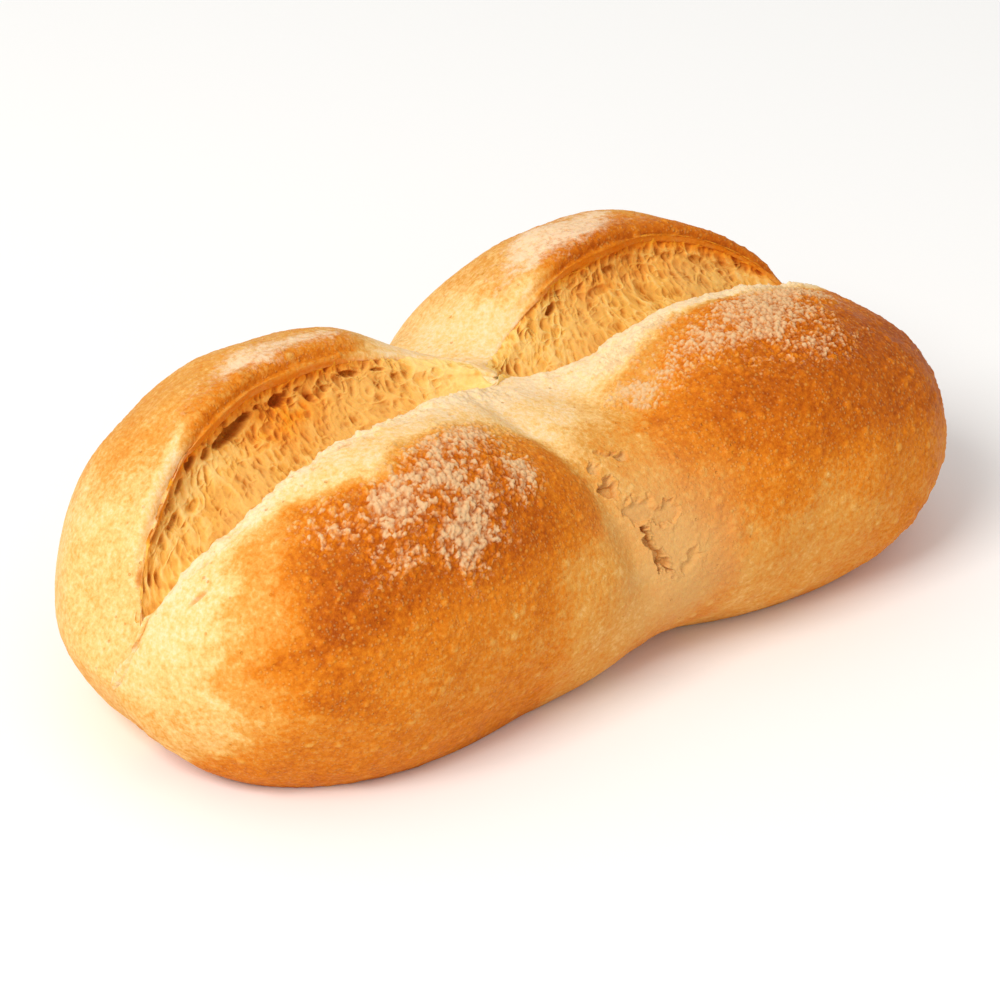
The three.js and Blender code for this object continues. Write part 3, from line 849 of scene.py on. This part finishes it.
def crust_shell(name, side, front):
    """One quarter of the crust, from its end to the seam at the waist: the skin with its relief,
    sunk under the crumb in the windows and under the waist's torn patch, and closed by an inner
    wall. Past the seam a narrow flange dives under the other half."""
    sizes = bpy.context.scene.bread_sizes
    x = ring_places(sizes.rings, side)
    x = np.concatenate([x, SEAM_X - side * np.array([0.25, 0.7])])
    dive = np.zeros(len(x))
    dive[-2:] = (0.02, 3.0)
    if side > 0:
        x, dive = x[::-1], dive[::-1]
    start, end, *dense = FRONT_SPAN if front else BACK_SPAN
    v = outline_places(start, end, SHELL_ROWS, dense)
    bare, normal, px, pv, move = crust_at(x, v)
    open_share = open_at(px)
    if front:
        under = smooth(pv, 8.7, 9.6)
    else:
        top = crumb_top(px)
        under = 1 - smooth(pv, top - 0.6, top - 0.05)
    move = move - SHELL_SINK * open_share * under - dive[:, None]
    move = move - 1.6 * smooth(patch(px, pv, *WAIST_PATCH, 4.0), 0.45, 0.8)
    grid = bare + move[..., None] * normal
    grid[..., 2] = np.maximum(grid[..., 2], 0.0)
    steps = 6
    values = {"bake": browning(px, pv, bare), "flour": flouring(px, pv, bare),
              # pit: painted shade in the edge openings, by their depth.
              "pit": np.clip(0.8 * openings(px, pv, EDGE_OPENINGS, 0.5), 0, 0.8),
              # Painted light on the shaded underside of the ear.
              "painted_light_under_ear": ear_share(px) * hump((pv - 13.5) / 0.4),
              # dull: painted shade on the low front of the waist.
              "dull": painted_waist_shade(px, pv, bare)}
    return add_tube(name, close_rings(grid, steps), {k: pad(a, steps) for k, a in values.items()})


def patch_piece(name, grid, values, sink):
    """A closed thin piece on the skin: a few rows of the same surface, moved by sink, close each
    ring from below."""
    back = np.linspace(grid.shape[1] - 1, 0, 12).astype(int)
    grid = np.concatenate([grid, grid[:, back] + sink], 1)
    return add_tube(name, grid, {k: pad(a, len(back)) for k, a in values.items()})


def inward(normal, depth):
    """The shift by that depth against the mean of the outward directions."""
    mean = normal.reshape(-1, 3).mean(0)
    return -depth * mean / np.linalg.norm(mean)


def crumb_piece(name, first, last, rings, seed):
    """The torn crumb in one window. Distances across the tear are lengths along the outline. A web
    of thin raised threads, where slow noise crosses zero and along the walls of cells pulled long
    across the tear, stands over hollows of varied depth, and the listed openings go deeper. The
    edges dive under lip and ear."""
    sizes = bpy.context.scene.bread_sizes
    x = np.linspace(first, last, rings)
    start, end, *dense = CRUMB_SPAN
    v = outline_places(start, end, CRUMB_ROWS, dense)
    bare, normal, px, pv, base = crust_at(x, v)
    steps = np.linalg.norm(np.diff(bare, axis=1), axis=-1)
    across = np.concatenate([np.zeros((len(x), 1)), np.cumsum(steps, 1)], 1)
    across = across - across[:, [np.searchsorted(v, 12.0)]]
    wide = tear_width(px)
    top = crumb_top(px)
    warp_x = 1.5 * layers(bare, 5.0, seed, 3)
    warp_a = 1.5 * layers(bare, 5.0, seed + 7, 3)
    ragged = layers(bare, 3.0, seed + 61, 3)
    flat = np.stack([px + warp_x, (across + warp_a) / 1.55], -1)
    deep = sizes.crumb_depth / MM

    def threads(size, seed_here, width):
        near_zero = np.abs(noise(np.concatenate([flat, 0.0 * flat[..., :1]], -1), size, seed_here))
        return 1 - smooth(near_zero, 0.0, width)

    low = 1 - smooth(pv + 0.3 * ragged, 11.0, 12.4)
    near, second, own = cells(flat, 2.1, seed + 11)
    pore = np.clip(1 - (near / (0.25 + 0.35 * own)) ** 2, 0, 1) * (0.3 + 0.7 * own)
    wall = 1 - smooth(second - near, 0.0, 0.15)
    near, _, own_small = cells(flat, 1.05, seed + 31)
    small_pore = np.clip(1 - (near / (0.25 + 0.35 * own_small)) ** 2, 0, 1) * own_small
    loose = smooth(layers(bare, 4.0, seed + 15, 2), -0.35, 0.25)
    web = np.maximum(threads(2.6, seed + 21, 0.13), 0.7 * threads(1.4, seed + 25, 0.16))
    web = np.maximum(0.8 * web, 0.8 * wall * (1 - low) * loose)
    fibre = noise(np.stack([px + 0.4 * warp_x, across / 6.0, 0 * px], -1), 0.75, seed + 41)
    holes = 0.85 * openings(px + 0.4 * warp_x, pv + 0.05 * ragged, CRUMB_OPENINGS, 0.55)
    hollow = (1 - web) * (0.25 + 0.9 * pore * (1 - 0.5 * low) + 0.7 * small_pore)
    depth = deep * hollow * (0.95 - 0.45 * low) + 0.08 * fibre
    depth = depth * (0.35 + 0.65 * smooth(wide, 8, 18)) + holes
    uneven = 0.5 * layers(bare, 8.0, seed + 51, 3)
    edge_lip = smooth(pv + 0.25 * ragged, 8.6, 9.1)
    edge_ear = 1 - smooth(pv + 0.28 * ragged - 0.22 * web, top - 0.22, top + 0.12)
    ends = smooth(wide, 3.0, 6.0) * smooth(HALF - np.abs(px), 6.5, 7.5)
    inside = edge_lip * edge_ear * ends
    height = base + (0.12 + uneven * smooth(top - pv, 0.1, 1.0) - depth) * inside
    height = height - 0.3 * (1 - edge_ear) - 0.9 * (1 - edge_lip * ends)
    reach = 0.95 + 0.45 * ragged
    toast = ear_share(px) * smooth(pv, top - reach, top - 0.1)
    if last < HALF / 2:
        toast = np.maximum(toast, patch(px, pv, -37, 12.2, 10, 0.75, 2.5) * (0.95 + 0.8 * ragged))
    else:
        toast = np.maximum(toast, 0.6 * patch(px, pv, 42, 12.3, 16, 0.5, 2.5) * (0.8 + 0.6 * ragged))
    bright = 0.3 * smooth(px, 3, 5) * (1 - smooth(px, 24, 36))
    grey = smooth(layers(bare, 7.0, seed + 81, 3), -0.3, 0.3) * smooth(top - pv, 0.5, 1.4)
    grey = np.maximum(grey, 0.8 * smooth(px, -36, -20) * (px < 3)) * (1 - 1.6 * bright)
    calm = np.maximum(smooth(px, -16, -6) * (px < 3), 0.8 * patch(px, pv, -59, 12.1, 13, 0.5, 2.5))
    # pit is painted shade: it grows with the depth of the hollows and openings, with some random fibre
    # tone; calm and bright paint less of it.
    pit = (0.12 + 0.66 * hollow + 0.14 * fibre) * (1 - 0.7 * calm) * (1 - bright)
    pit = pit + holes / 1.5
    values = {"pit": np.clip(pit, 0, 1), "toast": np.clip(toast, 0, 1), "grey": grey * (1 - calm)}
    return patch_piece(name, bare + height[..., None] * normal, values, np.array([0.0, 0.0, -8.0]))


def waist_piece(name):
    """The torn skin at the front of the waist: the crust's own relief with burst bubbles, whose
    rims are raised, and edges that dive under the crust."""
    middle_x, middle_v, half_x, half_v = WAIST_PATCH
    x = np.linspace(middle_x - 1.15 * half_x, middle_x + 1.15 * half_x, 230)
    low, high = middle_v - 1.15 * half_v, middle_v + 1.15 * half_v
    v = outline_places(low, high, 300, (low, high))
    bare, normal, px, pv, move = crust_at(x, v)
    wobble = layers(bare, 2.2, 331, 3)
    shift_x, shift_v = px + 2.0 * wobble, pv + 0.2 * layers(bare, 2.0, 335, 3)
    holes = openings(shift_x, shift_v, WAIST_OPENINGS, 0.3)
    larger = [(a, b, c * 1.25, d * 1.25, e) for a, b, c, d, e in WAIST_OPENINGS]
    rim = 0.22 * np.clip(openings(shift_x, shift_v, larger, 0.25) - holes, 0, 1)
    inside = smooth(patch(px, pv, *WAIST_PATCH, 4.0), 0.2, 0.5)
    height = move + (rim - holes) * inside - 0.5 * (1 - inside)
    values = {"bake": browning(px, pv, bare), "flour": flouring(px, pv, bare),
              # pit: painted shade in the deep holes, by their depth.
              "pit": ramp(holes, 0.8, 1.9),
              # dull: painted shade on the low front of the waist, and the dull colour in the holes.
              "dull": np.maximum(painted_waist_shade(px, pv, bare), np.clip(holes, 0, 0.8))}
    return patch_piece(name, bare + height[..., None] * normal, values, inward(normal, 4.0))


def flour_piece(name, x_range, v_range, rings, count, clump, seed):
    """Grains on one crest, floured where the flouring is strong and bare at its edges, sunk under
    the crust elsewhere."""
    top = bpy.context.scene.bread_sizes.flour_height / MM
    x = np.linspace(*x_range, rings)
    v = outline_places(*v_range, count, v_range)
    bare, normal, px, pv, move = crust_at(x, v)
    near, _, own = cells(bare + 0.4 * noise(bare, 1.5, seed + 5)[..., None], clump, seed)
    lump = (0.3 + 0.7 * own) * np.clip(1 - (near / 0.8) ** 2, 0, 1)
    near, _, own_fine = cells(bare + 0.2 * noise(bare, 0.8, seed + 7)[..., None], clump * 0.5, seed + 10)
    grit = (0.3 + 0.7 * own_fine) * np.clip(1 - (near / 0.8) ** 2, 0, 1)
    cover = flouring(px, pv, bare) + 0.22 * layers(bare, 4.0, seed + 20, 3)
    edge = (smooth(px, x_range[0], x_range[0] + 4) * (1 - smooth(px, x_range[1] - 4, x_range[1]))
            * smooth(pv, v_range[0], v_range[0] + 0.3) * (1 - smooth(pv, v_range[1] - 0.3, v_range[1])))
    grain = smooth(cover, 0.12, 0.55) * edge
    height = top * (1.3 * lump + 0.6 * grit) * grain - 0.35 * (1 - grain)
    white = smooth(cover + 0.5 * (own - 0.5) + 0.3 * (own_fine - 0.5), 0.2, 1.05)
    bake = browning(px, pv, bare)
    raised = 0.7 * lump + 0.4 * grit
    # Painted light and shade: the bake is lowered on the raised grains and raised in the gaps between
    # them.
    values = {"bake": bake + 0.45 * (0.25 - raised) * smooth(bake, 0.4, 0.7),
              "pit": np.clip(white * (0.85 * raised + 0.32 * white), 0, 1)}
    grid = bare + (move + height)[..., None] * normal
    return patch_piece(name, grid, values, inward(normal, 4.0))


class BREAD_OT_crust(bpy.types.Operator):
    """Add the crust of the front and of the back"""
    bl_idname = "bread.crust"
    bl_label = "Crust"

    def execute(self, context):
        material = material_named("baked crust", crust_material)
        for name, side, front in (("crust_front_left", -1, True), ("crust_front_right", 1, True),
                                  ("crust_back_left", -1, False), ("crust_back_right", 1, False)):
            finish_piece(crust_shell(name, side, front), material)
        return {'FINISHED'}


class BREAD_OT_crumb(bpy.types.Operator):
    """Add the torn crumb in both windows"""
    bl_idname = "bread.crumb"
    bl_label = "Crumb"

    def execute(self, context):
        material = material_named("torn crumb", crumb_material)
        for item in CRUMBS:
            finish_piece(crumb_piece(*item), material)
        return {'FINISHED'}


class BREAD_OT_waist(bpy.types.Operator):
    """Add the torn skin at the front of the waist"""
    bl_idname = "bread.waist"
    bl_label = "Torn waist"

    def execute(self, context):
        finish_piece(waist_piece("waist_tear"), material_named("baked crust", crust_material))
        return {'FINISHED'}


class BREAD_OT_flour(bpy.types.Operator):
    """Add the flour caked on the two front crests"""
    bl_idname = "bread.flour"
    bl_label = "Flour"

    def execute(self, context):
        material = material_named("caked flour", flour_material)
        for item in FLOURS:
            finish_piece(flour_piece(*item), material)
        return {'FINISHED'}


# ------------------------------------------------------------------ stage

VIEW_TURN = math.radians(44.8)      # how far the view is turned from looking along +Y
VIEW_DOWN = math.radians(31.6)
VIEW_DISTANCE = 0.7
PIXELS = 1000
PIXELS_PER_MM = 5.49
SEEN_POINT = (0.0, 4.0, 20.0)       # mm; it shows at SEEN_PIXEL
SEEN_PIXEL = (491.7, 498.0)
SENSOR = 36.0


def stand(thing, axes, place):
    """Puts a camera or a light into the scene at place, with its three axes."""
    rows = [(*row, p) for row, p in zip(np.stack(axes, 1), place)]
    thing.matrix_world = Matrix(rows + [(0, 0, 0, 1)])
    bpy.context.scene.collection.objects.link(thing)


def place_camera():
    """The camera looks along F, with R to the right and U up in the picture. A step of one
    millimetre at the seen point is PIXELS_PER_MM pixels, which gives the lens."""
    turn, down = VIEW_TURN, VIEW_DOWN
    right = np.array([math.cos(turn), -math.sin(turn), 0.0])
    ahead = np.array([math.sin(turn) * math.cos(down), math.cos(turn) * math.cos(down), -math.sin(down)])
    up = np.cross(right, ahead)
    aim = (np.array(SEEN_POINT) + right * (PIXELS / 2 - SEEN_PIXEL[0]) / PIXELS_PER_MM
           + up * (SEEN_PIXEL[1] - PIXELS / 2) / PIXELS_PER_MM) * MM
    place = aim - ahead * VIEW_DISTANCE
    data = bpy.data.cameras.new("camera")
    data.sensor_width = SENSOR
    data.lens = SENSOR * VIEW_DISTANCE / (PIXELS / PIXELS_PER_MM * MM)
    data.clip_start = 0.01
    camera = bpy.data.objects.new("camera", data)
    stand(camera, (right, up, -ahead), place)
    bpy.context.scene.camera = camera


def add_light(name, place, size, watts, color):
    """A square soft light at place that faces the roll."""
    data = bpy.data.lights.new(name, 'AREA')
    data.energy = watts
    data.size = size
    data.color = color
    light = bpy.data.objects.new(name, data)
    z = np.array(place) - np.array([0.0, 0.0, 0.03])
    z = z / np.linalg.norm(z)
    x = np.cross([0.0, 0.0, 1.0], z)
    x = x / np.linalg.norm(x)
    stand(light, (x, np.cross(z, x), z), place)


class BREAD_OT_stage(bpy.types.Operator):
    """Add the floor, the soft light and the camera"""
    bl_idname = "bread.stage"
    bl_label = "Stage"

    def execute(self, context):
        side = 3.0
        corners = [(-side, -side, 0), (side, -side, 0), (side, side, 0), (-side, side, 0)]
        mesh = bpy.data.meshes.new("floor")
        mesh.from_pydata(corners, [], [(0, 1, 2, 3)])
        floor = bpy.data.objects.new("floor", mesh)
        context.scene.collection.objects.link(floor)
        t = Tree("floor")
        t.put(t.shader.inputs["Base Color"], (0.97, 0.97, 0.97, 1))
        t.put(t.shader.inputs["Roughness"], 0.9)
        mesh.materials.append(t.material)
        world = bpy.data.worlds.new("studio")
        world.use_nodes = True
        background = world.node_tree.nodes["Background"]
        t.put(background.inputs["Color"], (1.0, 0.99, 0.97, 1))
        t.put(background.inputs["Strength"], 0.66)
        context.scene.world = world
        add_light("window", (-0.85, -0.10, 0.95), 0.6, 10.9, (1.0, 0.98, 0.94))
        context.scene.view_settings.view_transform = 'Standard'
        place_camera()
        return {'FINISHED'}


class BREAD_PT_panel(bpy.types.Panel):
    """Lists the pieces of the roll"""
    bl_label = "Bread Roll"
    bl_idname = "BREAD_PT_panel"
    bl_space_type = 'VIEW_3D'
    bl_region_type = 'UI'
    bl_category = "Bread"

    def draw(self, context):
        for operator in OPERATORS:
            self.layout.operator(operator.bl_idname)
        for group in (context.scene.bread_looks, context.scene.bread_sizes):
            for key in group.__annotations__:
                self.layout.prop(group, key)


OPERATORS = (BREAD_OT_crust, BREAD_OT_crumb, BREAD_OT_waist, BREAD_OT_flour, BREAD_OT_stage)
CLASSES = (BreadLooks, BreadSizes, *OPERATORS, BREAD_PT_panel)


def register():
    for item in CLASSES:
        bpy.utils.register_class(item)
    bpy.types.Scene.bread_looks = bpy.props.PointerProperty(type=BreadLooks)
    bpy.types.Scene.bread_sizes = bpy.props.PointerProperty(type=BreadSizes)


def unregister():
    del bpy.types.Scene.bread_sizes
    del bpy.types.Scene.bread_looks
    for item in reversed(CLASSES):
        bpy.utils.unregister_class(item)


def main():
    """Registers the add-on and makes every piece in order."""
    register()
    for name in ("crust", "crumb", "waist", "flour", "stage"):
        getattr(bpy.ops.bread, name)()


if __name__ == "__main__":
    main()
